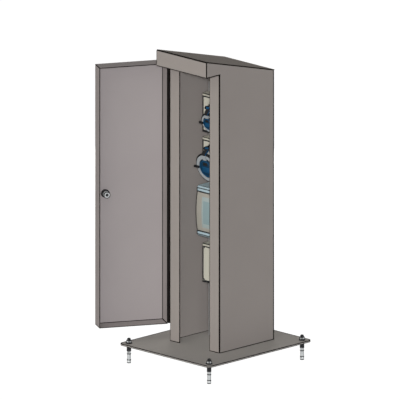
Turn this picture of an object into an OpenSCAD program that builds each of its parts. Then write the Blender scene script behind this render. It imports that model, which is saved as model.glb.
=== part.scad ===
// Electrical distribution cabinet: folded sheet body with a sloping visor on an anchored base plate,
// a pan door on a full-height hinge, and a mounting plate with two socket outlets, a distribution unit
// and a junction box.
// Millimetres. X to the right seen from the front, Y to the back, Z up from under the base plate.

/* [Body] */
// Width across the side walls
body_w = 250; // [240:2:280]
// Depth from the front strips to the back wall
body_d = 276; // [260:2:320]
// Height of the front opening above the base plate
body_h = 1020; // [980:5:1150]
// Thickness of the folded sheet
sheet = 2; // [1.5:0.5:2.5]
// Outside radius of the sheet bends
bend_r = 4; // [3:0.5:5]
// Width of each front return strip
strip_w = 50; // [40:1:52]

/* [Visor and roof] */
// Reach of the visor in front of the strips
visor_reach = 66; // [64:1:90]
// Height of the fascia
fascia_h = 62; // [50:1:90]
// Fall of the roof towards the back, in degrees
roof_fall = 15; // [5:1:16]
// Height of the header rail under the visor
header_h = 20; // [12:1:30]

/* [Base plate and anchors] */
// Width of the base plate
plate_w = 456; // [420:2:500]
// Depth of the base plate
plate_d = 520; // [480:2:560]
// Thickness of the base plate
plate_t = 6; // [5:1:10]
// Corner radius of the base plate
plate_r = 20; // [5:1:24]
// Distance of each anchor from the plate edges
anchor_inset = 27; // [24:1:40]
// Diameter of the anchor stud
stud_d = 12; // [10:1:14]
// Height of the stud above the base plate
stud_above = 19; // [17:1:30]
// Length of the shoulder under the base plate
shoulder_l = 21.5; // [15:0.5:30]
// Length of the stud collar under the shoulder
collar_l = 11.5; // [8:0.5:15]
// Length of the expansion clip
clip_l = 21; // [15:0.5:30]
// Length of the cone at the end of the stud
cone_l = 12; // [8:0.5:18]
// Diameter of the cable entry in the base plate
entry_d = 64; // [40:2:70]
// Sideways position of the cable entry
entry_x = 30; // [20:1:40]
// Distance of the cable entry in front of the mounting plate
entry_front = 45; // [42:1:60]

/* [Door] */
// Opening angle of the door as stored, in degrees
door_open = 120; // [95:1:170]
// Depth of the door pan
door_depth = 63; // [50:1:63]
// Gap between the door rim and the front strips
door_gap = 2.5; // [2:0.5:4]
// Gap under the door
door_bottom = 61; // [40:1:80]
// Gap between the door and the visor
door_top = 3.5; // [3:0.5:6]

/* [Hinge] */
// Diameter of the hinge pin
hinge_pin_d = 3; // [2.5:0.1:3.2]
// Diameter of the hinge knuckles
knuckle_d = 6; // [5.6:0.1:6.2]
// Distance of the hinge axis outside the side wall
hinge_out = 3.5; // [3.4:0.1:4.5]
// Thickness of the hinge leaves
leaf_t = 1.6; // [1.2:0.1:2]
// Width of the hinge leaves
leaf_w = 25; // [18:1:32]

/* [Lock] */
// Distance of the lock axis from the free edge of the door
lock_edge = 37; // [30:1:45]
// Diameter of the lock housing
lock_d = 22; // [20:0.5:24]
// Width across flats of the lock nut
lock_af = 27; // [26:0.5:32]
// Thickness of the lock nut
lock_nut_t = 10; // [6:0.5:12]
// Reach of the lock housing behind the door panel
lock_in = 27; // [22:1:35]
// Diameter of the lock spindle
spindle_d = 10; // [8:0.5:10]

/* [Mounting plate] */
// Distance of the mounting plate behind the front strips
mount_back = 155; // [150:1:165]
// Width of the mounting plate
mount_w = 170; // [160:2:190]
// Room between the mounting plate and the level of the visor
head_room = 90; // [80:1:105]
// Distance of the two stays under the top of the mounting plate
stay_down = 40; // [30:1:90]
// Width of the foot flange of the mounting plate
foot_flange = 30; // [20:1:40]

/* [Boxes] */
// Width of the socket boxes and of the junction box
box_w = 104; // [100:1:112]
// Height of the boxes
box_h = 143; // [140:1:145]
// Depth of the boxes
box_depth = 69; // [66:1:74]
// Radius of the front edges of the boxes
box_r = 10; // [6:0.5:12]
// Wall thickness of the boxes
box_t = 3; // [2.5:0.5:3.5]
// Distance from the top of the mounting plate to the small socket box
box_down = 24; // [15:1:40]
// Gap between the two socket boxes
box_gap = 18; // [15:1:30]

/* [Socket outlets] */
// Downward tilt of the sockets, in degrees
tilt = 15; // [13:1:17]
// Outside radius of the small collar
collar_r_16 = 35; // [34:0.5:36]
// Outside radius of the large collar
collar_r_32 = 52.5; // [51.5:0.5:53.5]
// Radius of the small lid
lid_r_16 = 23.5; // [23:0.5:24.5]
// Radius of the large lid
lid_r_32 = 35; // [34:0.5:36]
// Thickness of the collars
collar_t = 8; // [6:0.5:9]
// Height of the small socket centre above the bottom of its box
socket_up_16 = 42.5; // [41.5:0.5:43.5]
// Height of the large socket centre above the bottom of its box
socket_up_32 = 41; // [40:0.5:42]
// Distance of the small socket centre in front of its box
socket_out_16 = 15.5; // [14.5:0.5:16.5]
// Distance of the large socket centre in front of its box
socket_out_32 = 23; // [22:0.5:24]
// Diameter of the lid pins
lid_pin_d = 4; // [3:0.1:4.5]

/* [Distribution unit] */
// Width of the unit
unit_w = 124; // [120:1:130]
// Height of the unit
unit_h = 185; // [180:1:195]
// Depth of the unit at the edges of its door
unit_depth = 81; // [80:1:84]
// Gap between the unit and the large socket box
unit_gap_up = 34; // [30:1:45]
// Gap between the unit and the junction box
unit_gap_down = 28; // [26:1:60]
// Height of its end caps
cap_h = 22; // [20:0.5:24]
// Wall thickness of the unit
unit_t = 2.5; // [2:0.5:3]
// Radius of the curved front door
bow_r = 380; // [360:5:500]
// Thickness of the curved front door
bow_t = 3; // [2.5:0.5:3.5]
// Width of the plain part left of the glazed part
frame_left = 28; // [24:1:30]
// Width of the plain part right of the glazed part
frame_right = 16; // [14:1:18]
// Height of the plain parts above and below the glazed part
frame_end = 13; // [8:1:16]

/* [Devices] */
// Width of one breaker module
module_w = 17.6; // [17:0.1:17.8]
// Height of the devices
device_h = 85; // [80:1:90]
// Height of the device fronts
nose_h = 45; // [44:0.5:45]
// Travel of the levers, in degrees
lever_turn = 50; // [40:1:60]

/* [Hidden] */
$fn = 48;
eps = 1;
run = 0.05;
y_front = visor_reach / 2 - body_d / 2;
y_back = y_front + body_d;
y_fascia = y_front - visor_reach;
z_floor = plate_t;
z_visor = z_floor + body_h;
z_top = z_visor + fascia_h;
half_w = body_w / 2;
open_half = half_w - strip_w;
// Door, given closed and then turned to its stored angle
hinge_x = -half_w - hinge_out;
hinge_y = y_front - door_gap / 2;
door_z0 = z_floor + door_bottom;
door_h = body_h - door_bottom - door_top;
rim_y = y_front - door_gap;
panel_y = rim_y - door_depth;
hinge_z0 = door_z0 + 3;
hinge_l = door_h - 6;
knuckles = 15;
zone_l = hinge_l / knuckles;
zone_gap = 0.4;
leaf_off = knuckle_d / 2 + 0.4;
lock_x = half_w - lock_edge;
lock_z = door_z0 + door_h / 2;
head_t = 2.5;
head_r = 14;
key_r = spindle_d / 2 - 1.2;
// Equipment
mount_y = y_front + mount_back;
mount_t = 2;
mount_h = body_h - head_room;
entry_y = mount_y - entry_front;
box_y = mount_y - box_depth;
stay_up = mount_h - stay_down;
stay_edge = 15;
stay_x = mount_w / 2 - stay_edge;
stay_r = 7;
bolt_r = 4;
bolt_end = 9;
bolt_head_r = 8.5;
bolt_head_t = 4;
nut_af = 13;
nut_t = 6.5;
box_z_16 = z_floor + mount_h - box_down - box_h;
box_z_32 = box_z_16 - box_gap - box_h;
// Socket values, small outlet first
collar_r = [collar_r_16, collar_r_32];
lid_r = [lid_r_16, lid_r_32];
socket_y = [box_y - socket_out_16, box_y - socket_out_32];
socket_z = [box_z_16 + socket_up_16, box_z_32 + socket_up_32];
box_z = [box_z_16, box_z_32];
mouth_r = [lid_r_16 - 4, lid_r_32 - 5];
neck_up = [collar_r_16 + 5, collar_r_32 + 3.5];
neck_half = [collar_r_16 / 3, collar_r_32 / 3];
bore_r = [collar_r_16 - 7, collar_r_32 - 8];
post_r = [mouth_r[0] - 7, mouth_r[1] - 11];
contact_r_16 = 3.4;
contact_r_32 = 4.4;
contact_r = [contact_r_16, contact_r_32];
contact_ring = [post_r[0] - 5.5, post_r[1] - 8];
lid_pin_out_16 = 0.5;
lid_pin_out_32 = -2;
pin_out = [lid_pin_out_16, lid_pin_out_32];
pin_up = [collar_r_16 + 22.5, collar_r_32 + 19.5];
neck_back = 60;
insert_back = 40;
ear_in = 8.4;
ear_out = 14;
lid_gap = 1.3;
lid_t = 4;
// Distribution unit
unit_z = box_z_32 - unit_gap_up - unit_h;
unit_zc = unit_z + unit_h / 2;
unit_y = mount_y - unit_depth;
tray_d = 42;
tray_y = mount_y - tray_d;
cap_bevel = 8;
leaf_gap = 1;
bow_h = unit_h - 2 * cap_h - 2 * leaf_gap;
bow_half = bow_h / 2;
bow_sag = bow_r - sqrt(bow_r * bow_r - bow_half * bow_half);
bow_cy = unit_y - bow_sag + bow_r;
bow_w = unit_w - 1;
bow_x = unit_w / 2 - 6.5;
bow_y = unit_y + 4.5;
bow_pin_r = 1.5;
lug_h = 9;
inner_y = unit_y + 14;
inner_t = 2.5;
slot_x0 = -40;
slot_x1 = 36;
rail_y = mount_y - unit_t;
rail_d = 7.5;
rail_half = unit_w / 2 - 6;
rail_rim = 17.5;
rail_web = 13.5;
rail_t = 1;
device_y = rail_y - rail_d;
shoulder_y = inner_y + inner_t + 2;
nose_y = unit_y + 11;
rcd_w = 2 * module_w + 0.4;
rcd_x0 = -38;
mcb_x1 = rcd_x0 + rcd_w + 0.4;
mcb_x2 = mcb_x1 + module_w + 0.4;
lever_y = nose_y + 5;
lever_z = unit_zc + 4;
lever_r = 4;
button_x = rcd_x0 + 8;
button_z = unit_zc - 14;
button_r = 3;
bar_half = 40;
bar_off = device_h / 2 + 21.5;
bar_high = 5;
bar_d = 9;
bar_pitch = 11;
bar_hole_r = 2.5;
bar_hole_d = 5;
// Junction box
box_z_j = unit_z - unit_gap_down - box_h;
lid_depth_j = 2 * box_r + 2;
split_j = mount_y - box_depth + lid_depth_j;
screw_x = box_w / 2 - 12;
screw_z = box_h / 2 - 12;
gland_x = 22;
gland_y = mount_y - 35;

// Colours
paint = "#8f8983";
steel = "#9aa0a3";
dark_steel = "#3b3d3f";
cream = "#c9c8ba";
collar_grey = "#a5acae";
socket_blue = "#0f4a73";
black = "#1b1c1d";
brass = "#b99a4c";
cap_blue = "#9fb4bb";
warm_grey = "#a09f96";
glaze = "#869c9f";
white = "#dcdcd6";

// Shared shapes

module rounded_rect(w, d, r) {
  square([w - 2 * r, d], center = true);
  square([w, d - 2 * r], center = true);
  for (x = [-1, 1])
    for (y = [-1, 1])
      translate([x * (w / 2 - r), y * (d / 2 - r)])
        circle(r);
}

// Rectangle from the back at 0 to the front at -d, with round front corners
module front_round(w, d, r) {
  translate([-w / 2, -d + r])
    square([w, d - r]);
  translate([-w / 2 + r, -d])
    square([w - 2 * r, d]);
  for (x = [-1, 1])
    translate([x * (w / 2 - r), -d + r])
      circle(r);
}

// Extrude along X a shape that is drawn in Y and Z
module along_x(l) {
  rotate([90, 0, 90])
    linear_extrude(l, center = true)
      children();
}

// Box with all its front edges rounded, back at Y 0, bottom at Z 0
module soft_box(w, h, d, r) {
  intersection() {
    linear_extrude(h)
      front_round(w, d, r);
    translate([0, 0, h / 2])
      rotate([0, 90, 0])
        linear_extrude(w, center = true)
          front_round(h, d, r);
  }
}

module bar(x0, x1, y0, y1, z0, z1) {
  translate([x0, y0, z0])
    cube([x1 - x0, y1 - y0, z1 - z0]);
}

module rod_x(x0, x1, y, z, r) {
  translate([x0, y, z])
    rotate([0, 90, 0])
      cylinder(h = x1 - x0, r = r);
}

module rod_y(x, y0, y1, z, r) {
  translate([x, y0, z])
    rotate([-90, 0, 0])
      cylinder(h = y1 - y0, r = r);
}

module rod_z(x, y, z0, z1, r) {
  translate([x, y, z0])
    cylinder(h = z1 - z0, r = r);
}

module hex_z(af, h) {
  cylinder(h = h, r = af / sqrt(3), $fn = 6);
}

module at_anchors() {
  for (x = [-1, 1])
    for (y = [-1, 1])
      translate([x * (plate_w / 2 - anchor_inset), y * (plate_d / 2 - anchor_inset), 0])
        children();
}

module door_stored() {
  translate([hinge_x, hinge_y, 0])
    rotate([0, 0, -door_open])
      translate([-hinge_x, -hinge_y, 0])
        children();
}

// Frame of socket k: Z out of the socket, Y up its face
module at_socket(k) {
  translate([0, socket_y[k], socket_z[k]])
    rotate([90 + tilt, 0, 0])
      children();
}

function pin_y_of(k) = socket_y[k] - pin_out[k];
function pin_z_of(k) = socket_z[k] + pin_up[k];
function pin_local_y(k) = pin_out[k] * sin(tilt) + pin_up[k] * cos(tilt);
function pin_local_z(k) = pin_out[k] * cos(tilt) - pin_up[k] * sin(tilt);

// Base plate and anchors

module base_plate() {
  color(paint)
    difference() {
      linear_extrude(plate_t)
        rounded_rect(plate_w, plate_d, plate_r);
      at_anchors()
        translate([0, 0, -eps])
          cylinder(h = plate_t + 2 * eps, d = stud_d + 1.5);
      rod_z(entry_x, entry_y, -eps, plate_t + eps, entry_d / 2);
    }
}

module cable_grommet() {
  color(black)
    translate([entry_x, entry_y, 0])
      difference() {
        union() {
          translate([0, 0, 0.5])
            cylinder(h = plate_t, r = entry_d / 2 - 0.3);
          translate([0, 0, plate_t])
            cylinder(h = 2, r = entry_d / 2 + 4);
        }
        translate([0, 0, -eps])
          cylinder(h = plate_t + 5, r = entry_d / 2 - 4);
      }
}

module anchor_studs() {
  collar_z = -shoulder_l - collar_l;
  clip_z = collar_z - clip_l;
  end_z = clip_z - cone_l;
  core = stud_d / 2;
  color(steel)
    at_anchors()
      rotate_extrude()
        polygon([
          [0, end_z], [core, end_z], [core + 1.2, end_z + 3], [core + 1.2, clip_z - 2],
          [core + 0.6, clip_z - 1.5], [core + 0.6, clip_z], [core, clip_z], [core, collar_z],
          [core + 0.5, collar_z], [core + 0.5, collar_z + 1.5], [core + 1, collar_z + 2],
          [core + 1, -shoulder_l], [core + 2, -shoulder_l], [core + 2, 0], [core, 0],
          [core, plate_t + stud_above - 1.2], [core - 1.2, plate_t + stud_above], [0, plate_t + stud_above]
        ]);
}

module anchor_clips() {
  color(steel)
    at_anchors()
      translate([0, 0, -shoulder_l - collar_l - clip_l])
        difference() {
          cylinder(h = clip_l, d = stud_d + 1.6);
          translate([0, 0, -eps])
            cylinder(h = clip_l + 2 * eps, d = stud_d + 0.4);
          // Slit of the spring clip
          translate([0, -0.75, -eps])
            cube([stud_d, 1.5, clip_l + 2 * eps]);
        }
}

module anchor_washers() {
  color(steel)
    at_anchors()
      translate([0, 0, plate_t])
        difference() {
          cylinder(h = 2.5, d = stud_d * 2);
          translate([0, 0, -eps])
            cylinder(h = 5, d = stud_d + 1);
        }
}

module anchor_nuts() {
  color(dark_steel)
    at_anchors()
      translate([0, 0, plate_t + 2.5])
        difference() {
          intersection() {
            hex_z(stud_d * 1.5 + 1, 10);
            rotate_extrude()
              polygon([[0, 0], [stud_d, 0], [stud_d, 8], [stud_d * 0.72, 10], [0, 10]]);
          }
          translate([0, 0, -eps])
            cylinder(h = 12, d = stud_d + 0.3);
        }
}

// Folded body

module wrap_plan() {
  difference() {
    translate([0, (y_front + y_back) / 2])
      rounded_rect(body_w, body_d, bend_r);
    translate([0, (y_front + y_back) / 2])
      rounded_rect(body_w - 2 * sheet, body_d - 2 * sheet, bend_r - sheet);
    translate([-open_half, y_front - eps])
      square([2 * open_half, body_d / 2]);
  }
}

module wrap_upper_plan() {
  y_mid = (y_front + y_back) / 2;
  difference() {
    union() {
      translate([0, y_mid])
        rounded_rect(body_w, body_d, bend_r);
      translate([-half_w, y_fascia + sheet])
        square([body_w, y_mid - y_fascia]);
    }
    translate([0, y_mid])
      rounded_rect(body_w - 2 * sheet, body_d - 2 * sheet, bend_r - sheet);
    translate([-half_w + sheet, y_fascia - eps])
      square([body_w - 2 * sheet, y_mid - y_fascia]);
  }
}

// Everything above the underside of the roof sheet
module above_roof() {
  translate([0, y_fascia, z_top])
    rotate([-roof_fall, 0, 0])
      translate([-body_w, -body_d, -sheet])
        cube([2 * body_w, 3 * body_d, body_h]);
}

module cabinet_wrap() {
  cheek_top = z_top - sheet * tan(roof_fall) - sheet / cos(roof_fall);
  relief_r = bend_r - sheet + 0.1;
  color(paint)
    difference() {
      union() {
        translate([0, 0, z_floor])
          linear_extrude(body_h + sheet)
            wrap_plan();
        translate([0, 0, z_visor + sheet])
          linear_extrude(fascia_h)
            wrap_upper_plan();
      }
      above_roof();
      // Reliefs for the two bends of the visor
      rod_x(-body_w, body_w, y_fascia + sheet, cheek_top, relief_r + 0.6);
      rod_x(-body_w, body_w, y_fascia + sheet, z_visor + sheet, relief_r);
      for (x = [-1, 1])
        rod_y(x * stay_x, y_back - 2 * sheet, y_back + eps, z_floor + stay_up, bolt_r + 0.3);
    }
}

module roof_visor() {
  inner = bend_r - sheet;
  // Centre of the bend between fascia and roof
  run_in = bend_r * (1 + sin(roof_fall)) / cos(roof_fall);
  bend_y = y_fascia + bend_r;
  bend_z = z_top - run_in * sin(roof_fall) - bend_r * cos(roof_fall);
  steps = 5;
  turn = 90 + roof_fall;
  outer_arc = [for (i = [steps:-1:0])
    [bend_y + bend_r * cos(180 - i * turn / steps), bend_z + bend_r * sin(180 - i * turn / steps)]];
  inner_arc = [for (i = [0:steps])
    [bend_y + inner * cos(180 - i * turn / steps), bend_z + inner * sin(180 - i * turn / steps)]];
  low_outer = [for (i = [0:steps])
    [bend_y + bend_r * cos(180 + i * 90 / steps), z_visor + bend_r + bend_r * sin(180 + i * 90 / steps)]];
  low_inner = [for (i = [steps:-1:0])
    [bend_y + inner * cos(180 + i * 90 / steps), z_visor + bend_r + inner * sin(180 + i * 90 / steps)]];
  back_z = z_top - (y_back - y_fascia) * tan(roof_fall);
  drop = sheet / cos(roof_fall);
  low_back = [[y_front, z_visor], [y_front, z_visor + sheet]];
  roof_back = [[y_back, back_z - drop], [y_back, back_z]];
  color(paint)
    along_x(body_w)
      polygon(concat(low_outer, low_back, low_inner, inner_arc, roof_back, outer_arc));
}

module header_rail() {
  color(paint)
    bar(-open_half, open_half, y_front, y_front + sheet, z_visor - header_h, z_visor + sheet);
}

// Hinge and door

module leaf(first, back) {
  x0 = -half_w - leaf_t;
  side = back ? 1 : -1;
  difference() {
    union() {
      for (i = [first:2:knuckles - 1]) {
        z0 = hinge_z0 + i * zone_l + zone_gap / 2;
        z1 = hinge_z0 + (i + 1) * zone_l - zone_gap / 2;
        rod_z(hinge_x, hinge_y, z0, z1, knuckle_d / 2);
        bar(x0, -half_w, min(hinge_y, hinge_y + side * (leaf_off + 1)),
          max(hinge_y, hinge_y + side * (leaf_off + 1)), z0, z1);
      }
      bar(x0, -half_w, min(hinge_y + side * leaf_off, hinge_y + side * leaf_w),
        max(hinge_y + side * leaf_off, hinge_y + side * leaf_w), hinge_z0, hinge_z0 + hinge_l);
    }
    rod_z(hinge_x, hinge_y, hinge_z0 - eps, hinge_z0 + hinge_l + eps, hinge_pin_d / 2 + run);
  }
}

module hinge_frame_leaf() {
  color(dark_steel)
    leaf(0, true);
}

module hinge_pin() {
  color(dark_steel) {
    rod_z(hinge_x, hinge_y, hinge_z0, hinge_z0 + hinge_l + 1, hinge_pin_d / 2);
    rod_z(hinge_x, hinge_y, hinge_z0 + hinge_l - zone_gap / 2, hinge_z0 + hinge_l + 1.2, knuckle_d / 2);
  }
}

module hinge_door_leaf() {
  color(dark_steel)
    door_stored()
      leaf(1, false);
}

module pan_block(inset, lift) {
  r = bend_r - inset;
  w = body_w - 2 * inset;
  h = door_h - 2 * inset;
  d = door_depth - inset + lift;
  translate([0, rim_y + lift, door_z0 + inset])
    intersection() {
      linear_extrude(h)
        front_round(w, d, r);
      translate([0, 0, h / 2])
        rotate([0, 90, 0])
          linear_extrude(w, center = true)
            front_round(h, d, r);
    }
}

module door_pan() {
  color(paint)
    door_stored()
      difference() {
        pan_block(0, 0);
        pan_block(sheet, eps);
        rod_y(lock_x, panel_y - eps, panel_y + sheet + eps, lock_z, lock_d / 2 + 0.2);
      }
}

module lock_housing() {
  end_y = panel_y + sheet + lock_in;
  color(steel)
    door_stored()
      difference() {
        union() {
          rod_y(lock_x, panel_y - head_t, panel_y, lock_z, head_r);
          rod_y(lock_x, panel_y, end_y, lock_z, lock_d / 2);
        }
        rod_y(lock_x, panel_y - head_t - eps, end_y + eps, lock_z, spindle_d / 2 + run);
        rod_y(lock_x, end_y - 6, end_y + eps, lock_z, spindle_d / 2 + 0.6);
        // Seat of the spindle head, open to the front
        rod_y(lock_x, panel_y - head_t - eps, panel_y + 1, lock_z, spindle_d / 2 + 3.4);
      }
}

module lock_nut() {
  color(dark_steel)
    door_stored()
      translate([lock_x, panel_y + sheet, lock_z])
        rotate([-90, 0, 0])
          difference() {
            intersection() {
              rotate([0, 0, 30])
                hex_z(lock_af, lock_nut_t);
              rotate_extrude()
                polygon([[0, 0], [lock_af, 0], [lock_af, 0], [lock_af * 0.6, lock_nut_t * 0.8],
                  [lock_af * 0.5, lock_nut_t], [0, lock_nut_t]]);
            }
            translate([0, 0, -eps])
              cylinder(h = lock_nut_t + 2 * eps, d = lock_d + 0.2);
          }
}

module lock_spindle() {
  end_y = panel_y + sheet + lock_in;
  color(steel)
    door_stored()
      difference() {
        union() {
          rod_y(lock_x, panel_y - head_t + 0.5, panel_y + 0.7, lock_z, spindle_d / 2 + 3);
          rod_y(lock_x, panel_y, end_y - 4, lock_z, spindle_d / 2);
        }
        // Three-sided key socket
        translate([lock_x, panel_y - head_t, lock_z])
          rotate([-90, 0, 0])
            rotate([0, 0, 90])
              cylinder(h = 9, r = key_r, $fn = 3);
        rod_y(lock_x, end_y - 9, end_y, lock_z, 2);
      }
}

// Mounting plate

module mounting_plate() {
  color(steel)
    difference() {
      union() {
        bar(-mount_w / 2, mount_w / 2, mount_y, mount_y + mount_t, z_floor, z_floor + mount_h);
        // Foot flange welded to the base plate
        bar(-mount_w / 2, mount_w / 2, mount_y, mount_y + foot_flange, z_floor, z_floor + mount_t);
      }
      for (x = [-1, 1])
        rod_y(x * stay_x, mount_y - eps, mount_y + mount_t + eps, z_floor + stay_up, bolt_r + 0.3);
    }
}

module mounting_stays() {
  color(steel)
    for (x = [-1, 1])
      difference() {
        rod_y(x * stay_x, mount_y + mount_t, y_back - sheet, z_floor + stay_up, stay_r);
        rod_y(x * stay_x, mount_y, y_back, z_floor + stay_up, bolt_r + 0.3);
      }
}

module stay_bolts() {
  color(steel)
    for (x = [-1, 1]) {
      rod_y(x * stay_x, mount_y - bolt_end, y_back, z_floor + stay_up, bolt_r);
      translate([x * stay_x, y_back, z_floor + stay_up])
        rotate([-90, 0, 0])
          rotate_extrude()
            polygon([[0, 0], [bolt_head_r, 0], [bolt_head_r - 1, bolt_head_t - 1.5], [bolt_r, bolt_head_t],
              [0, bolt_head_t]]);
    }
}

module stay_nuts() {
  color(steel)
    for (x = [-1, 1])
      translate([x * stay_x, mount_y, z_floor + stay_up])
        rotate([90, 0, 0])
          difference() {
            hex_z(nut_af, nut_t);
            translate([0, 0, -eps])
              cylinder(h = 9, r = bolt_r + 0.15);
          }
}

// Socket outlets, k is 0 for the small and 1 for the large one

module socket_box(k) {
  color(cream)
    difference() {
      translate([0, mount_y, box_z[k]])
        soft_box(box_w, box_h, box_depth, box_r);
      translate([0, mount_y + eps, box_z[k] + box_t])
        soft_box(box_w - 2 * box_t, box_h - 2 * box_t, box_depth - box_t + eps, box_r - box_t);
      at_socket(k)
        translate([0, 0, -neck_back - 20])
          cylinder(h = neck_back + 40, r = bore_r[k]);
      // Room for the collar where it leans into the front of the box
      at_socket(k)
        translate([0, 0, -collar_t])
          cylinder(h = neck_back, r = collar_r[k] + 0.3);
      rod_z(gland_x, gland_y, box_z[k] - eps, box_z[k] + box_t + eps, 12.3);
    }
}

// Outline of the neck behind the collar, drawn up towards the lid hinge
module neck_outline(k) {
  side = collar_r[k] * cos(45);
  circle(collar_r[k]);
  polygon([[-side, side], [side, side], [neck_half[k], neck_up[k]], [-neck_half[k], neck_up[k]]]);
}

module socket_collar(k) {
  m = mouth_r[k];
  r = collar_r[k];
  color(collar_grey)
    difference() {
      at_socket(k)
        difference() {
          union() {
            rotate_extrude()
              polygon([[m, -collar_t], [r, -collar_t], [r, -1.5], [r - 1.5, 0], [m + 1, 0], [m, -1]]);
            translate([0, 0, -neck_back])
              linear_extrude(neck_back - collar_t)
                neck_outline(k);
          }
          translate([0, 0, -neck_back - eps])
            cylinder(h = neck_back + eps - collar_t, r = bore_r[k]);
        }
      // The neck ends on the front of the box
      bar(-body_w, body_w, box_y, box_y + body_d, 0, z_top);
    }
}

module socket_insert(k) {
  m = mouth_r[k];
  r = bore_r[k] - 0.3;
  floor_z = -insert_back + 6;
  color(socket_blue)
    at_socket(k)
      difference() {
        rotate_extrude()
          polygon([[0, -insert_back], [r, -insert_back], [r, -collar_t], [m, -collar_t], [m, floor_z],
            [post_r[k], floor_z], [post_r[k], -14], [post_r[k] - 1, -13], [0, -13]]);
        for (a = [90, 210, 330])
          rotate([0, 0, a + 180])
            translate([contact_ring[k], 0, -insert_back - eps])
              cylinder(h = insert_back, r = contact_r[k] + 0.2);
      }
}

module socket_contacts(k) {
  color(brass)
    at_socket(k)
      for (a = [90, 210, 330])
        rotate([0, 0, a + 180])
          translate([contact_ring[k], 0, -insert_back - 6])
            difference() {
              union() {
                cylinder(h = insert_back - 9, r = contact_r[k]);
                translate([0, 0, 4])
                  cylinder(h = 2, r = contact_r[k] + 1.2);
              }
              translate([0, 0, 8])
                cylinder(h = insert_back, r = contact_r[k] - 1);
            }
}

module socket_stud(k) {
  color(black)
    at_socket(k)
      bar(-collar_r[k] - 8, -lid_r[k] - 1.5, -3.5, 3.5, 0, 6);
}

module lid_bracket(k) {
  py = pin_y_of(k);
  pz = pin_z_of(k);
  color(black)
    difference() {
      union() {
        bar(-ear_out, ear_out, box_y - 3, box_y, pz - 5, pz + 10);
        for (x = [-1, 1]) {
          bar(min(x * ear_in, x * ear_out), max(x * ear_in, x * ear_out), py, box_y - 1, pz - 6, pz + 6);
          rod_x(min(x * ear_in, x * ear_out), max(x * ear_in, x * ear_out), py, pz, 6);
        }
      }
      rod_x(-ear_out - eps, ear_out + eps, py, pz, lid_pin_d / 2 + run);
    }
}

module lid_pin(k) {
  color(steel) {
    rod_x(-ear_out - 1, ear_out, pin_y_of(k), pin_z_of(k), lid_pin_d / 2);
    rod_x(-ear_out - 1.5, -ear_out, pin_y_of(k), pin_z_of(k), lid_pin_d / 2 + 1.5);
  }
}

module socket_lid(k) {
  r = lid_r[k];
  py = pin_local_y(k);
  pz = pin_local_z(k);
  rise = collar_r[k];
  top = lid_gap + lid_t;
  skirt = mouth_r[k] - 4;
  color(socket_blue)
    at_socket(k)
      difference() {
        union() {
          rotate_extrude()
            polygon([[0, lid_gap], [skirt - 2, lid_gap], [skirt - 2, -1.2], [skirt, -1.2], [skirt, lid_gap],
              [r, lid_gap], [r, top - 2.5], [r - 2.5, top - 1], [r * 0.5, top], [0, top]]);
          along_x(16)
            polygon([[r - 6, lid_gap], [rise + 1.5, lid_gap], [py - 4, pz], [py + 4, pz],
              [rise + 7.5, top - 2], [rise + 4, top + 0.5], [r - 6, top - 1]]);
          rod_x(-8, 8, py, pz, 5);
        }
        rod_x(-10, 10, py, pz, lid_pin_d / 2 + run);
      }
}

module lid_seal(k) {
  color(black)
    at_socket(k)
      translate([0, 0, 0.4])
        difference() {
          cylinder(h = lid_gap - 0.4, r = lid_r[k] - 1);
          translate([0, 0, -eps])
            cylinder(h = 4, r = mouth_r[k] + 1);
        }
}

module socket_box_16() { socket_box(0); }
module socket_collar_16() { socket_collar(0); }
module socket_insert_16() { socket_insert(0); }
module socket_contacts_16() { socket_contacts(0); }
module socket_stud_16() { socket_stud(0); }
module lid_bracket_16() { lid_bracket(0); }
module lid_pin_16() { lid_pin(0); }
module socket_lid_16() { socket_lid(0); }
module lid_seal_16() { lid_seal(0); }
module socket_box_32() { socket_box(1); }
module socket_collar_32() { socket_collar(1); }
module socket_insert_32() { socket_insert(1); }
module socket_contacts_32() { socket_contacts(1); }
module socket_stud_32() { socket_stud(1); }
module lid_bracket_32() { lid_bracket(1); }
module lid_pin_32() { lid_pin(1); }
module socket_lid_32() { socket_lid(1); }
module lid_seal_32() { lid_seal(1); }

// Distribution unit

module unit_base() {
  color(cap_blue)
    difference() {
      bar(-unit_w / 2, unit_w / 2, tray_y, mount_y, unit_z, unit_z + unit_h);
      bar(-unit_w / 2 + unit_t, unit_w / 2 - unit_t, tray_y - eps, mount_y - unit_t,
        unit_z + unit_t, unit_z + unit_h - unit_t);
      rod_z(gland_x, gland_y + 8, unit_z - eps, unit_z + unit_t + eps, 12.3);
    }
}

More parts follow.
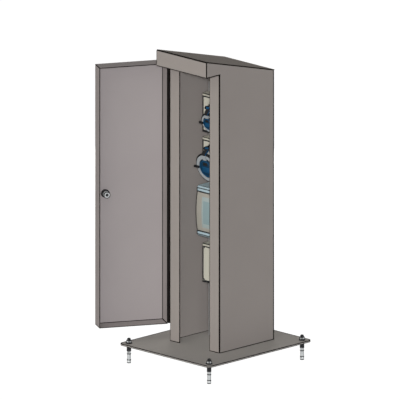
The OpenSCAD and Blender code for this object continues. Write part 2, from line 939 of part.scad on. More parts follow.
module unit_cover() {
  z1 = unit_z + unit_h;
  half = unit_w / 2;
  color(cap_blue)
    difference() {
      union() {
        difference() {
          along_x(unit_w)
            polygon([[tray_y, unit_z], [unit_y + cap_bevel, unit_z], [unit_y, unit_z + cap_bevel],
              [unit_y, z1 - cap_bevel], [unit_y + cap_bevel, z1], [tray_y, z1]]);
          along_x(unit_w - 2 * unit_t)
            polygon([[tray_y + eps, unit_z + unit_t], [unit_y + cap_bevel + 1, unit_z + unit_t],
              [unit_y + unit_t, unit_z + cap_bevel + 1], [unit_y + unit_t, z1 - cap_bevel - 1],
              [unit_y + cap_bevel + 1, z1 - unit_t], [tray_y + eps, z1 - unit_t]]);
          // Front opening under the curved door, with room for its hinge edge at the right
          bar(-half - eps, half + eps, unit_y - eps, unit_y + 4, unit_z + cap_h, z1 - cap_h);
          bar(half - 2 * unit_t, half + eps, unit_y - eps, inner_y - 0.5, unit_z + cap_h, z1 - cap_h);
        }
        difference() {
          bar(-half + unit_t - 0.5, half - unit_t + 0.5, inner_y, inner_y + inner_t,
            unit_z + unit_t - 0.5, z1 - unit_t + 0.5);
          bar(slot_x0, slot_x1, inner_y - eps, inner_y + inner_t + eps,
            unit_zc - nose_h / 2 - 1, unit_zc + nose_h / 2 + 1);
        }
        // Hinge bosses of the curved door
        bar(bow_x - 4, half - 0.5, unit_y + 1, inner_y + 0.5, unit_z + cap_h - 8, unit_z + cap_h);
        bar(bow_x - 4, half - 0.5, unit_y + 1, inner_y + 0.5, z1 - cap_h, z1 - cap_h + 8);
      }
      rod_z(bow_x, bow_y, unit_z + cap_h - 6, unit_z + cap_h + eps, bow_pin_r + run);
      rod_z(bow_x, bow_y, z1 - cap_h - eps, z1 - cap_h + 6, bow_pin_r + run);
    }
}

module bow_shell(outer, inner, x0, x1, z_half) {
  translate([(x0 + x1) / 2, 0, 0])
    along_x(x1 - x0)
      intersection() {
        translate([bow_cy, unit_zc])
          difference() {
            circle(outer, $fn = 200);
            circle(inner, $fn = 200);
          }
        translate([unit_y - 30, unit_zc - z_half])
          square([60, 2 * z_half]);
      }
}

module unit_door() {
  glass_x0 = -bow_w / 2 + frame_left;
  glass_x1 = bow_w / 2 - frame_right;
  color(warm_grey)
    difference() {
      union() {
        bow_shell(bow_r, bow_r - bow_t, -bow_w / 2, bow_w / 2, bow_half);
        // Hinge lugs at the top and bottom of the right edge
        bar(bow_x - 3.5, bow_w / 2, unit_y + 0.5, bow_y + 3, unit_zc - bow_half, unit_zc - bow_half + lug_h);
        bar(bow_x - 3.5, bow_w / 2, unit_y + 0.5, bow_y + 3, unit_zc + bow_half - lug_h, unit_zc + bow_half);
      }
      bar(glass_x0, glass_x1, unit_y - 40, unit_y + 20, unit_zc - bow_half + frame_end,
        unit_zc + bow_half - frame_end);
      for (s = [-1, 1])
        rod_z(bow_x, bow_y, unit_zc + s * bow_half - 7, unit_zc + s * bow_half + 7, bow_pin_r + run);
    }
}

module unit_glazing() {
  glass_x0 = -bow_w / 2 + frame_left;
  glass_x1 = bow_w / 2 - frame_right;
  color(glaze)
    bow_shell(bow_r - 0.4, bow_r - bow_t + 0.4, glass_x0, glass_x1, bow_half - frame_end);
}

module unit_door_pins() {
  z1 = unit_z + unit_h;
  color(steel) {
    rod_z(bow_x, bow_y, unit_z + cap_h - 5, unit_zc - bow_half + 7, bow_pin_r);
    rod_z(bow_x, bow_y, unit_zc + bow_half - 7, z1 - cap_h + 5, bow_pin_r);
  }
}

module din_rail() {
  color(steel) {
    bar(-rail_half, rail_half, rail_y - rail_t, rail_y, unit_zc - rail_web, unit_zc + rail_web);
    for (z = [[-rail_web, -rail_web + rail_t], [rail_web - rail_t, rail_web]])
      bar(-rail_half, rail_half, device_y, rail_y, unit_zc + z[0], unit_zc + z[1]);
    for (z = [[-rail_rim, -rail_web + rail_t], [rail_web - rail_t, rail_rim]])
      bar(-rail_half, rail_half, device_y, device_y + rail_t, unit_zc + z[0], unit_zc + z[1]);
  }
}

module terminal_bars() {
  color(brass)
    for (s = [-1, 1])
      difference() {
        bar(-bar_half, bar_half, rail_y - bar_d, rail_y,
          unit_zc + s * bar_off - bar_high, unit_zc + s * bar_off + bar_high);
        for (i = [-3:3])
          rod_y(i * bar_pitch, rail_y - bar_d - eps, rail_y - bar_d + bar_hole_d, unit_zc + s * bar_off,
            bar_hole_r);
      }
}

// Device with a stepped front and a pocket for its lever
module device(x0, w, lever_w) {
  xc = x0 + w / 2;
  difference() {
    union() {
      bar(x0, x0 + w, shoulder_y, device_y, unit_zc - device_h / 2, unit_zc + device_h / 2);
      bar(x0, x0 + w, nose_y, shoulder_y, unit_zc - nose_h / 2, unit_zc + nose_h / 2);
    }
    bar(xc - lever_w / 2 - 0.4, xc + lever_w / 2 + 0.4, nose_y - eps, lever_y + 6,
      lever_z - 12, lever_z + 12);
    rod_x(xc - lever_w / 2 - 3, xc + lever_w / 2 + 3, lever_y, lever_z, 1.5 + run);
    // Terminal screw holes above and below the front
    for (s = [-1, 1])
      rod_y(xc, shoulder_y - eps, shoulder_y + 8, unit_zc + s * (device_h / 2 - 9), 3);
  }
}

module lever(x0, w, lever_w) {
  xc = x0 + w / 2;
  rod_x(xc - lever_w / 2, xc + lever_w / 2, lever_y, lever_z, lever_r);
  rod_x(xc - lever_w / 2 - 2.6, xc + lever_w / 2 + 2.6, lever_y, lever_z, 1.5);
  translate([xc, lever_y, lever_z])
    rotate([-lever_turn / 2, 0, 0])
      bar(-lever_w / 2, lever_w / 2, -13, 0, -2.5, 2.5);
}

module rcd_body() {
  color(white)
    difference() {
      device(rcd_x0, rcd_w, 14);
      rod_y(button_x, nose_y - eps, nose_y + 8, button_z, button_r + run);
    }
}

module rcd_lever() {
  color(socket_blue)
    lever(rcd_x0, rcd_w, 14);
}

module test_button() {
  color(collar_grey)
    rod_y(button_x, nose_y - 2.5, nose_y + 6, button_z, button_r);
}

module mcb_body_1() {
  color(white)
    device(mcb_x1, module_w, 8);
}

module mcb_lever_1() {
  color(black)
    lever(mcb_x1, module_w, 8);
}

module mcb_body_2() {
  color(white)
    device(mcb_x2, module_w, 8);
}

module mcb_lever_2() {
  color(black)
    lever(mcb_x2, module_w, 8);
}

// Junction box and glands

module at_screws() {
  for (x = [-1, 1])
    for (z = [-1, 1])
      translate([x * screw_x, 0, box_z_j + box_h / 2 + z * screw_z])
        children();
}

module junction_base() {
  color(cream)
    difference() {
      union() {
        difference() {
          bar(-box_w / 2, box_w / 2, split_j, mount_y, box_z_j, box_z_j + box_h);
          bar(-box_w / 2 + box_t, box_w / 2 - box_t, split_j - eps, mount_y - box_t,
            box_z_j + box_t, box_z_j + box_h - box_t);
        }
        at_screws()
          rod_y(0, split_j, mount_y - 1, 0, 5);
      }
      at_screws()
        rod_y(0, split_j - eps, split_j + 20, 0, 2.2);
      rod_z(gland_x, gland_y, box_z_j - eps, box_z_j + box_t + eps, 12.3);
      rod_z(gland_x, gland_y, box_z_j + box_h - box_t - eps, box_z_j + box_h + eps, 12.3);
    }
}

module junction_lid() {
  color(cream)
    difference() {
      union() {
        difference() {
          translate([0, split_j, box_z_j])
            soft_box(box_w, box_h, lid_depth_j, box_r);
          translate([0, split_j + eps, box_z_j + box_t])
            soft_box(box_w - 2 * box_t, box_h - 2 * box_t, lid_depth_j - box_t + eps, box_r - box_t);
        }
        at_screws()
          rod_y(0, box_y + 1, split_j, 0, 5);
      }
      at_screws() {
        rod_y(0, box_y - eps, split_j + eps, 0, 2.2);
        rod_y(0, box_y - eps, box_y + 4, 0, 3.8);
      }
    }
}

module junction_screws() {
  color(cream)
    at_screws()
      difference() {
        union() {
          rod_y(0, box_y + 0.5, box_y + 4, 0, 3.5);
          rod_y(0, box_y + 3, split_j + 18, 0, 2);
        }
        bar(-2.5, 2.5, box_y, box_y + 1.5, -0.5, 0.5);
      }
}

module junction_terminals() {
  zc = box_z_j + box_h / 2;
  color(warm_grey)
    difference() {
      bar(-32, 32, mount_y - box_t - 26, mount_y - box_t, zc - 13, zc + 13);
      for (i = [-2:2]) {
        rod_y(i * 12, mount_y - box_t - 26 - eps, mount_y - box_t - 16, zc - 6, 2.6);
        rod_y(i * 12, mount_y - box_t - 26 - eps, mount_y - box_t - 16, zc + 6, 2.6);
        rod_z(i * 12, mount_y - box_t - 11, zc - 13 - eps, zc + 13 + eps, 2.4);
      }
    }
}

// Gland with its flange outside the wall at z, pointing down for s = -1
module gland(y, z, s, wall) {
  translate([gland_x, y, z])
    scale_up(s)
      difference() {
        union() {
          translate([0, 0, -wall - 5])
            cylinder(h = wall + 6, r = 12);
          hex_z(28, 6);
          cylinder(h = 12, r = 11);
        }
        translate([0, 0, -wall - 8])
          cylinder(h = wall + 30, r = 7);
      }
}

module scale_up(s) {
  rotate([s > 0 ? 0 : 180, 0, 0])
    children();
}

module cable_glands() {
  color(black) {
    gland(gland_y, box_z_16, -1, box_t);
    gland(gland_y, box_z_32, -1, box_t);
    gland(gland_y + 8, unit_z, -1, unit_t);
    gland(gland_y, box_z_j + box_h, 1, box_t);
    gland(gland_y, box_z_j, -1, box_t);
  }
}

// Show one node or all
base_plate();
cable_grommet();
anchor_studs();
anchor_clips();
anchor_washers();
anchor_nuts();
cabinet_wrap();
roof_visor();
header_rail();
hinge_frame_leaf();
hinge_pin();
hinge_door_leaf();
door_pan();
lock_housing();
lock_nut();
lock_spindle();
mounting_plate();
mounting_stays();
stay_bolts();
stay_nuts();
socket_box_16();
socket_collar_16();
socket_insert_16();
socket_contacts_16();
socket_stud_16();
lid_bracket_16();
lid_pin_16();
socket_lid_16();
lid_seal_16();
socket_box_32();
socket_collar_32();
socket_insert_32();
socket_contacts_32();
socket_stud_32();
lid_bracket_32();
lid_pin_32();
socket_lid_32();
lid_seal_32();
unit_base();
unit_cover();
unit_door();
unit_glazing();
unit_door_pins();
din_rail();
terminal_bars();
rcd_body();
rcd_lever();
test_button();
mcb_body_1();
mcb_lever_1();
mcb_body_2();
mcb_lever_2();
junction_base();
junction_lid();
junction_screws();
junction_terminals();
cable_glands();
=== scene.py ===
import math

import bmesh
import bpy
from mathutils import Matrix, Vector


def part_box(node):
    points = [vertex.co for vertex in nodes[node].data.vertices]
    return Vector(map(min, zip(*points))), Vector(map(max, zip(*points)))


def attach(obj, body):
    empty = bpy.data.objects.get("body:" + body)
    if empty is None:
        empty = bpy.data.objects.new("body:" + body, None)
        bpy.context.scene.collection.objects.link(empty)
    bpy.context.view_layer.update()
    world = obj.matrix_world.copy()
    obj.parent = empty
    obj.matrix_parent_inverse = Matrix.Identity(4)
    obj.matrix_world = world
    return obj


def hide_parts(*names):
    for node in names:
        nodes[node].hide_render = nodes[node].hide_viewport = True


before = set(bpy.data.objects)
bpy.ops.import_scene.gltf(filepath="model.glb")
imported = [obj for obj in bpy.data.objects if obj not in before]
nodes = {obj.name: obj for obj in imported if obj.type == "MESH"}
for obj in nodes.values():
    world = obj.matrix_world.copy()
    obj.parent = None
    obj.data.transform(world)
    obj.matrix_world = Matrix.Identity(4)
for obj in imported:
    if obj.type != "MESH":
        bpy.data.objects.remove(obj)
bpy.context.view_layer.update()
MM = 0.001

# Studio
# A parallel view from the front right, 45 degrees round and 15 degrees up, over a plain white floor. The
# main lamp behind the camera casts the shadows; two fill lamps, in front and overhead, cast none, and a wide
# low lamp lights the back.
VIEW_TURN = math.radians(45)
VIEW_RISE = math.radians(15)
VIEW_HEIGHT = 1.4184
VIEW_AWAY = 4
LOOK_AT = Vector((-0.1307, 0.0530, 0.4908))
FLOOR_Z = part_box("anchor_studs")[0].z
FLOOR_REACH = 30
FLOOR_GLOW = 1.2
GLOW_SHARE = 0.8
SKY_LIGHT = 0.06

to_camera = Vector((math.sin(VIEW_TURN) * math.cos(VIEW_RISE),
                    -math.cos(VIEW_TURN) * math.cos(VIEW_RISE),
                    math.sin(VIEW_RISE)))
camera_data = bpy.data.cameras.new("camera")
camera_data.type = "ORTHO"
camera_data.ortho_scale = VIEW_HEIGHT
camera = bpy.data.objects.new("camera", camera_data)
camera.location = LOOK_AT + to_camera * VIEW_AWAY
camera.rotation_euler = to_camera.to_track_quat("Z", "Y").to_euler()
bpy.context.scene.collection.objects.link(camera)
bpy.context.scene.camera = camera

for lamp_name, towards, strength, spread, shadow, tint in (
    ("lamp_behind_camera", to_camera, 2.0, 5, True, (0.97, 0.965, 1.0)),
    ("lamp_front", Vector((-0.1, -1.0, 0.2)), 0.4, 30, False, (1.0, 0.94, 0.85)),
    ("lamp_overhead", Vector((0.1, -0.9, 1.0)), 0.9, 60, False, (1.0, 0.97, 0.92)),
):
    lamp_data = bpy.data.lights.new(lamp_name, "SUN")
    lamp_data.energy = strength
    lamp_data.angle = math.radians(spread)
    lamp_data.color = tint
    lamp_data.use_shadow = shadow
    lamp = bpy.data.objects.new(lamp_name, lamp_data)
    lamp.rotation_euler = towards.to_track_quat("Z", "Y").to_euler()
    bpy.context.scene.collection.objects.link(lamp)

BACK_LAMP_AT = Vector((-2.0, 2.1, 0.6))
BACK_LAMP_POWER = 52
BACK_LAMP_SIZE = 1.2
back_data = bpy.data.lights.new("lamp_back", "AREA")
back_data.energy = BACK_LAMP_POWER
back_data.size = BACK_LAMP_SIZE
back_data.color = (1.0, 0.98, 0.95)
back_lamp = bpy.data.objects.new("lamp_back", back_data)
back_lamp.location = BACK_LAMP_AT
back_lamp.visible_glossy = False
back_lamp.rotation_euler = (BACK_LAMP_AT - LOOK_AT).to_track_quat("Z", "Y").to_euler()
bpy.context.scene.collection.objects.link(back_lamp)


def linear(code):
    """An sRGB hex colour as linear RGBA."""
    parts = [int(code[i:i + 2], 16) / 255 for i in (1, 3, 5)]
    return tuple(p / 12.92 if p <= 0.04045 else ((p + 0.055) / 1.055) ** 2.4 for p in parts) + (1.0,)


def add_node(tree, kind, settings=None, links=None):
    """One shader node, with its settings by attribute or socket, and its sockets linked to other nodes."""
    made = tree.nodes.new("ShaderNode" + kind)
    for key, value in (settings or {}).items():
        if isinstance(key, str) and hasattr(made, key):
            setattr(made, key, value)
        else:
            made.inputs[key].default_value = value
    for key, (source, output) in (links or {}).items():
        tree.links.new(source.outputs[output], made.inputs[key])
    return made


def seen_share(tree, unseen, seen):
    """One value where the camera, a reflection or glass looks at a surface, another where light falls on it."""
    path = add_node(tree, "LightPath")
    looks = add_node(tree, "Math", {"operation": "MAXIMUM"}, {0: (path, "Is Camera Ray"), 1: (path, "Is Glossy Ray")})
    looks = add_node(tree, "Math", {"operation": "MAXIMUM"}, {0: (looks, 0), 1: (path, "Is Transmission Ray")})
    return add_node(tree, "MapRange", {"To Min": unseen, "To Max": seen}, {"Value": (looks, 0)})


world = bpy.data.worlds.new("studio")
bpy.context.scene.world = world
world.use_nodes = True
world.node_tree.nodes.clear()
sky = add_node(world.node_tree, "Background", {"Color": (1, 1, 1, 1)},
               {"Strength": (seen_share(world.node_tree, SKY_LIGHT, 1.0), 0)})
add_node(world.node_tree, "OutputWorld", {}, {"Surface": (sky, 0)})

floor_shell = bmesh.new()
bmesh.ops.create_grid(floor_shell, x_segments=1, y_segments=1, size=FLOOR_REACH)
bmesh.ops.translate(floor_shell, verts=floor_shell.verts, vec=(0, 0, FLOOR_Z))
floor_data = bpy.data.meshes.new("floor")
floor_shell.to_mesh(floor_data)
floor_shell.free()
floor = bpy.data.objects.new("floor", floor_data)
bpy.context.scene.collection.objects.link(floor)
floor_paint = bpy.data.materials.new("white_studio_floor")
floor_paint.use_nodes = True
floor_paint.node_tree.nodes.clear()
matt = add_node(floor_paint.node_tree, "BsdfDiffuse", {"Color": (0.85, 0.85, 0.85, 1)})
glow = add_node(floor_paint.node_tree, "Emission", {"Color": (1, 1, 1, 1), "Strength": FLOOR_GLOW})
both = add_node(floor_paint.node_tree, "MixShader", {},
                {0: (seen_share(floor_paint.node_tree, 0.0, GLOW_SHARE), 0), 1: (matt, 0), 2: (glow, 0)})
add_node(floor_paint.node_tree, "OutputMaterial", {}, {"Surface": (both, 0)})
floor_data.materials.append(floor_paint)
bpy.context.scene.view_settings.view_transform = "Standard"

# Painted sheet metal
# The base plate, the folded body, its roof and header rail, and the pan door: steel sheet, bent, welded
# and powder coated grey, one paint throughout; its paler tone on the plate and the door is painted light. The
# coat is a baked film, satin, with a fine orange-peel surface; the near black on the bends and cut edges is painted
# shade.
COAT = ("#9d9792", "#97918c")
# the plate and the door carry the body's paint; their paler tones are painted light
PLATE_TONES_PAINTED_LIGHTER = ("#a6a39f", "#a09d99")
DOOR_TONES_PAINTED_LIGHTER = ("#a39d9c", "#9d9796")
# near-black painted shade for the bends, cut edges, sharp edges, weld beads and hinge
EDGE_SHADE_TONES = ("#12100f", "#211e1c")
PEEL = 4 * MM  # the real peel is about 1 mm wide; drawn coarser so that it shows
CLOUD = 160 * MM
EDGE_SHADE_PATCH = 30 * MM
EDGE_WIDTH = 3 * MM  # what is narrower is a bend or a cut edge
BORDER = 2.0 * MM
PLATE_BORDERS = (1.6 * MM, 5.0 * MM)
DOOR_BORDERS = (2.6 * MM, 4.2 * MM)
WIDE_AREA = 60 * MM
BACK_EDGE = 7.5 * MM
FLAT = math.radians(0.6)
ROUND = math.radians(24)
SHARP = math.radians(25)
SMOOTH_UNDER = math.radians(32)
WHOLE_UNDER = math.radians(0.5)
SQUARE_ON = 0.9  # a normal with this share along an axis faces along it
MERGE = 1e-6

powder_coat = bpy.data.materials.new("powder_coated_steel")
plate_coat_painted_light = bpy.data.materials.new("powder_coated_steel_painted_lighter_on_plate")
door_coat_painted_light = bpy.data.materials.new("powder_coated_steel_painted_lighter_on_door")
# a near-black coat that paints shade along edges and joints
edge_shade_coat = bpy.data.materials.new("painted_edge_shade")
for coat, tones, patch in ((powder_coat, COAT, CLOUD), (plate_coat_painted_light, PLATE_TONES_PAINTED_LIGHTER, CLOUD),
                           (door_coat_painted_light, DOOR_TONES_PAINTED_LIGHTER, CLOUD), (edge_shade_coat, EDGE_SHADE_TONES, EDGE_SHADE_PATCH)):
    coat.use_nodes = True
    tree = coat.node_tree
    tree.nodes.clear()
    place = add_node(tree, "TexCoord")
    cloud = add_node(tree, "TexNoise", {"Scale": 1 / patch, "Detail": 4.0}, {"Vector": (place, "Object")})
    tone = add_node(tree, "Mix", {"data_type": "RGBA", 6: linear(tones[0]), 7: linear(tones[1])}, {0: (cloud, "Fac")})
    peel = add_node(tree, "TexNoise", {"Scale": 1 / PEEL, "Detail": 2.0}, {"Vector": (place, "Object")})
    dull = add_node(tree, "MapRange", {"To Min": 0.66, "To Max": 0.82}, {"Value": (peel, "Fac")})
    relief = add_node(tree, "Bump", {"Strength": 0.06, "Distance": MM}, {"Height": (peel, "Fac")})
    film = add_node(tree, "BsdfPrincipled", {"Specular IOR Level": 0.012},
                    {"Base Color": (tone, 2), "Roughness": (dull, 0), "Normal": (relief, 0)})
    add_node(tree, "OutputMaterial", {}, {"Surface": (film, 0)})


def copy_of(node):
    """A CAD node's mesh as one merged shell, with its flat faces whole."""
    shell = bmesh.new()
    shell.from_mesh(nodes[node].data)
    bmesh.ops.remove_doubles(shell, verts=shell.verts, dist=MERGE)
    bmesh.ops.dissolve_limit(shell, angle_limit=WHOLE_UNDER, verts=shell.verts, edges=shell.edges)
    return shell


def cut_across(shell, at, across):
    """Cut the faces of a shell along the plane through a point, across a direction."""
    whole = shell.verts[:] + shell.edges[:] + shell.faces[:]
    bmesh.ops.bisect_plane(shell, geom=whole, dist=MERGE, plane_co=at, plane_no=across)


def add_piece(name, shell, finishes, body, stands_for=()):
    """Make a mesh a piece of the object, in its finishes, riding on a CAD body."""
    data = bpy.data.meshes.new(name)
    shell.to_mesh(data)
    shell.free()
    for finish in finishes:
        data.materials.append(finish)
    data.shade_smooth()
    data.set_sharp_from_angle(angle=SMOOTH_UNDER)
    piece = bpy.data.objects.new(name, data)
    bpy.context.scene.collection.objects.link(piece)
    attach(piece, body)
    if stands_for:
        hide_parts(*stands_for)
    return piece


def flat_regions(shell, bend):
    """The areas of a shell that turn by less than this angle from face to face, each a list of faces."""
    left = dict.fromkeys(shell.faces)  # a dict keeps its order, so each run goes through the faces alike
    regions = []
    while left:
        region = [left.popitem()[0]]
        for face in region:
            for edge in face.edges:
                for other in edge.link_faces:
                    if other in left and edge.calc_face_angle(math.pi) < bend:
                        del left[other]
                        region.append(other)
        regions.append(region)
    return regions


def paint_edge_shade(shell, narrow, wide, bend):
    """Paint shade in near black on a sheet's bends and cut edges, and on a border of its flat areas along their sharp
    edges.
    """
    for region in flat_regions(shell, bend):
        members = set(region)
        rim = [e for f in region for e in f.edges if len(members.intersection(e.link_faces)) == 1]
        width = 2 * sum(f.calc_area() for f in region) / sum(e.calc_length() for e in rim)
        border = wide if width > WIDE_AREA else narrow
        if width < EDGE_WIDTH:
            for face in region:
                face.material_index = 1
        elif width > 3 * border:
            strip = bmesh.ops.inset_region(shell, faces=region, thickness=border, use_boundary=True,
                                           use_even_offset=True)["faces"]
            for face in strip:
                face.normal_update()
                if any(len(e.link_faces) == 2 and e.calc_face_angle() > SHARP for e in face.edges):
                    face.material_index = 1


# the plate and door coats carry painted light, and every sheet gets painted shade along its edges
for sheet, body, coat, borders, bend in (
    ("base_plate", "cabinet", plate_coat_painted_light, PLATE_BORDERS, ROUND),
    ("cabinet_wrap", "cabinet", powder_coat, (BORDER, BORDER), FLAT),
    ("roof_visor", "cabinet", powder_coat, (BORDER, BORDER), FLAT),
    ("header_rail", "cabinet", powder_coat, (BORDER, BORDER), FLAT),
    ("door_pan", "door", door_coat_painted_light, DOOR_BORDERS, FLAT),
):
    shell = copy_of(sheet)
    paint_edge_shade(shell, *borders, bend)
    if sheet == "cabinet_wrap":  # its side walls also turn dark along the back corners
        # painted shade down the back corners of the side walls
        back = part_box(sheet)[1].y - BACK_EDGE
        cut_across(shell, (0, back, 0), (0, 1, 0))
        for face in shell.faces:
            face.normal_update()
            if abs(face.normal.x) > SQUARE_ON and face.calc_center_median().y > back:
                face.material_index = 1
    add_piece(sheet + "_sheet", shell, [coat, edge_shade_coat], body, [sheet])

# Weld beads
# The body is welded to the base plate all round its foot: low beads of steel with a regular ripple, left as
# they were laid and coated over; their near-black coat is painted shade in the crease at the foot.
BEAD = 2.0
BEAD_RISE = 0.4
BEAD_END = 4
RIPPLE = 5.0
SWELL = (0.8, 1.2)


def add_to(shell, part, place=Matrix(), finish=0):
    """Move a finished part to its place and add it to a piece's mesh, in one finish, or as it is with None."""
    if finish is not None:
        for face in part.faces:
            face.material_index = finish
    held = bpy.data.meshes.new("held")
    part.to_mesh(held)
    part.free()
    held.transform(place)
    shell.from_mesh(held)
    bpy.data.meshes.remove(held)


def weld_bead(start, end):
    """A rippled bead along a straight line in millimetres."""
    run = Vector(end) - Vector(start)
    rings = 2 * max(2, round(run.length / RIPPLE))
    part = bmesh.new()
    bmesh.ops.create_cone(part, cap_ends=True, segments=8, radius1=BEAD * MM, radius2=BEAD * MM,
                          depth=run.length * MM)
    sides = [e for e in part.edges if abs(e.verts[0].co.z - e.verts[1].co.z) > MM]
    bmesh.ops.subdivide_edges(part, edges=sides, cuts=rings - 1, use_grid_fill=True)
    for vert in part.verts:
        ring = round((vert.co.z / (run.length * MM) + 0.5) * rings)
        swell = SWELL[ring % 2]
        vert.co.x *= swell
        vert.co.y *= swell
    place = Matrix.Translation((Vector(start) + Vector(end)) / 2 * MM)
    bmesh.ops.transform(part, verts=part.verts, matrix=place @ run.to_track_quat("Z", "Y").to_matrix().to_4x4())
    return part


foot_low, foot_high = (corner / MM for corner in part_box("cabinet_wrap"))
FOOT_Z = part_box("base_plate")[1].z / MM + BEAD_RISE
STRIP_FRONT = -105
STRIP_IN = 75
beads = bmesh.new()
for side in (foot_low.x, foot_high.x):
    add_to(beads, weld_bead((side, STRIP_FRONT + BEAD_END, FOOT_Z), (side, foot_high.y - BEAD_END, FOOT_Z)))
    outward = math.copysign(1, side)
    add_to(beads, weld_bead((outward * STRIP_IN, STRIP_FRONT, FOOT_Z),
                            (side - BEAD_END * outward, STRIP_FRONT, FOOT_Z)))
add_to(beads, weld_bead((foot_low.x + BEAD_END, foot_high.y, FOOT_Z), (foot_high.x - BEAD_END, foot_high.y, FOOT_Z)))
add_piece("foot_weld", beads, [edge_shade_coat], "cabinet")

# Cable entry
# A moulded edge grommet of black rubber pressed into the hole of the base plate. Rubber gives a dull,
# faintly mottled black.
RUBBER = ("#17181a", "#222325")
BLOOM = 12 * MM

black_rubber = bpy.data.materials.new("black_rubber")
black_rubber.use_nodes = True
tree = black_rubber.node_tree
tree.nodes.clear()
place = add_node(tree, "TexCoord")
bloom = add_node(tree, "TexNoise", {"Scale": 1 / BLOOM, "Detail": 3.0}, {"Vector": (place, "Object")})
tone = add_node(tree, "Mix", {"data_type": "RGBA", 6: linear(RUBBER[0]), 7: linear(RUBBER[1])}, {0: (bloom, "Fac")})
dull = add_node(tree, "MapRange", {"To Min": 0.65, "To Max": 0.85}, {"Value": (bloom, "Fac")})
skin = add_node(tree, "BsdfPrincipled", {"IOR": 1.52, "Specular IOR Level": 0.3},
                {"Base Color": (tone, 2), "Roughness": (dull, 0)})
add_node(tree, "OutputMaterial", {}, {"Surface": (skin, 0)})


def dress(material, *names):
    """Give CAD nodes this finish."""
    for name in names:
        nodes[name].data.materials.clear()
        nodes[name].data.materials.append(material)


dress(black_rubber, "cable_grommet")

# Ground anchors
# Expansion anchors of zinc-plated steel: a stud with a rolled thread, a dark shoulder under the plate, an
# expansion clip held by black rubber rings over a cone, and a hexagon nut on a black washer. Zinc plate is a
# pale, slightly cloudy metal with fine drawing marks; black oxide is a dark film that lets steel shine through.
ZINC = ("#c3c6c6", "#a9adae")
OXIDE = ("#161718", "#2a2b2d")
CLOUDING = 9 * MM
DRAWN = 1.5 * MM  # real drawing marks are finer than 0.2 mm; drawn coarser so that they show

zinc = bpy.data.materials.new("zinc_plated_steel")
black_oxide = bpy.data.materials.new("black_oxide_steel")
for metal, tones, share, shine, dullest in ((zinc, ZINC, 0.55, 0.3, 0.5), (black_oxide, OXIDE, 0.1, 0.45, 0.6)):
    metal.use_nodes = True
    tree = metal.node_tree
    tree.nodes.clear()
    place = add_node(tree, "TexCoord")
    cloud = add_node(tree, "TexNoise", {"Scale": 1 / CLOUDING, "Detail": 4.0}, {"Vector": (place, "Object")})
    tone = add_node(tree, "Mix", {"data_type": "RGBA", 6: linear(tones[0]), 7: linear(tones[1])}, {0: (cloud, "Fac")})
    drawn = add_node(tree, "Mapping", {"Scale": (1.0, 1.0, 0.06)}, {"Vector": (place, "Object")})
    marks = add_node(tree, "TexNoise", {"Scale": 1 / DRAWN, "Detail": 2.0}, {"Vector": (drawn, 0)})
    dull = add_node(tree, "MapRange", {"To Min": shine, "To Max": dullest}, {"Value": (marks, "Fac")})
    relief = add_node(tree, "Bump", {"Strength": 0.05, "Distance": 0.4 * MM}, {"Height": (marks, "Fac")})
    skin = add_node(tree, "BsdfPrincipled", {"Metallic": share, "Specular IOR Level": 0.15},
                    {"Base Color": (tone, 2), "Roughness": (dull, 0), "Normal": (relief, 0)})
    add_node(tree, "OutputMaterial", {}, {"Surface": (skin, 0)})

dress(zinc, "anchor_clips")
dress(black_oxide, "anchor_washers")

ANCHOR_X, ANCHOR_Y = 201, 233
ANCHORS = [Vector((x, y, 0)) * MM for x in (-ANCHOR_X, ANCHOR_X) for y in (-ANCHOR_Y, ANCHOR_Y)]
STUD_R = 6.0
STUD_TOP = 25.0
SHOULDER_LOW, SHOULDER_HIGH = -20.5, -0.5
THREAD_PITCH = 1.75
THREAD_GAP = 0.3
THREAD_SUNK = 0.1
NUT_LOW, NUT_HIGH = (corner.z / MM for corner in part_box("anchor_nuts"))
NUT_FLATS = 19.0
NUT_EDGE = 2.2
NUT_TURN = math.radians(45)
RINGS = ((-21.3, 8.0, 0.9), (-32.2, 7.4, 1.6), (-54.0, 7.4, 1.6), (-64.2, 7.0, 1.8))  # middle, radius, half height
RING_BORE = 3
RING_EDGE = 0.3


def lathe(outline, steps=32):
    """Spin an outline of (radius, height) points in millimetres a full turn about Z."""
    part = bmesh.new()
    points = [part.verts.new((r * MM, 0, z * MM)) for r, z in outline]
    edges = [part.edges.new(pair) for pair in zip(points, points[1:])]
    bmesh.ops.spin(part, geom=points + edges, cent=(0, 0, 0), axis=(0, 0, 1), angle=2 * math.pi, steps=steps,
                   use_merge=True)
    bmesh.ops.remove_doubles(part, verts=part.verts, dist=1e-7)
    bmesh.ops.recalc_face_normals(part, faces=part.faces)
    return part


def thread(radius, low, turns, pitch, depth=0.45, steps=20):
    """A helical ridge that stands on a stud of this radius, heights in millimetres."""
    part = bmesh.new()
    root, crest = radius - THREAD_SUNK, radius + depth
    ridge = ((root, 0.0), (crest, pitch * 0.4), (crest, pitch * 0.6), (root, pitch))
    points = [part.verts.new((r * MM, 0, (low + z) * MM)) for r, z in ridge]
    edges = [part.edges.new(pair) for pair in zip(points, points[1:])]
    bmesh.ops.spin(part, geom=points + edges, cent=(0, 0, 0), axis=(0, 0, 1), angle=2 * math.pi * turns,
                   dvec=(0, 0, pitch * MM / steps), steps=round(steps * turns))
    bmesh.ops.recalc_face_normals(part, faces=part.faces)
    return part


studs = copy_of("anchor_studs")
for cut in (NUT_HIGH, SHOULDER_HIGH, SHOULDER_LOW):
    cut_across(studs, (0, 0, cut * MM), (0, 0, 1))
for face in studs.faces:
    height = face.calc_center_median().z / MM
    face.material_index = 1 if height > NUT_HIGH or SHOULDER_LOW < height < 0 else 0
turns = math.floor((STUD_TOP - NUT_HIGH - 1) / THREAD_PITCH) - 1
for spot in ANCHORS:
    add_to(studs, thread(STUD_R, NUT_HIGH + THREAD_GAP, turns, THREAD_PITCH), Matrix.Translation(spot), 1)
add_piece("anchor_stud_bolts", studs, [zinc, black_oxide], "cabinet", ["anchor_studs"])

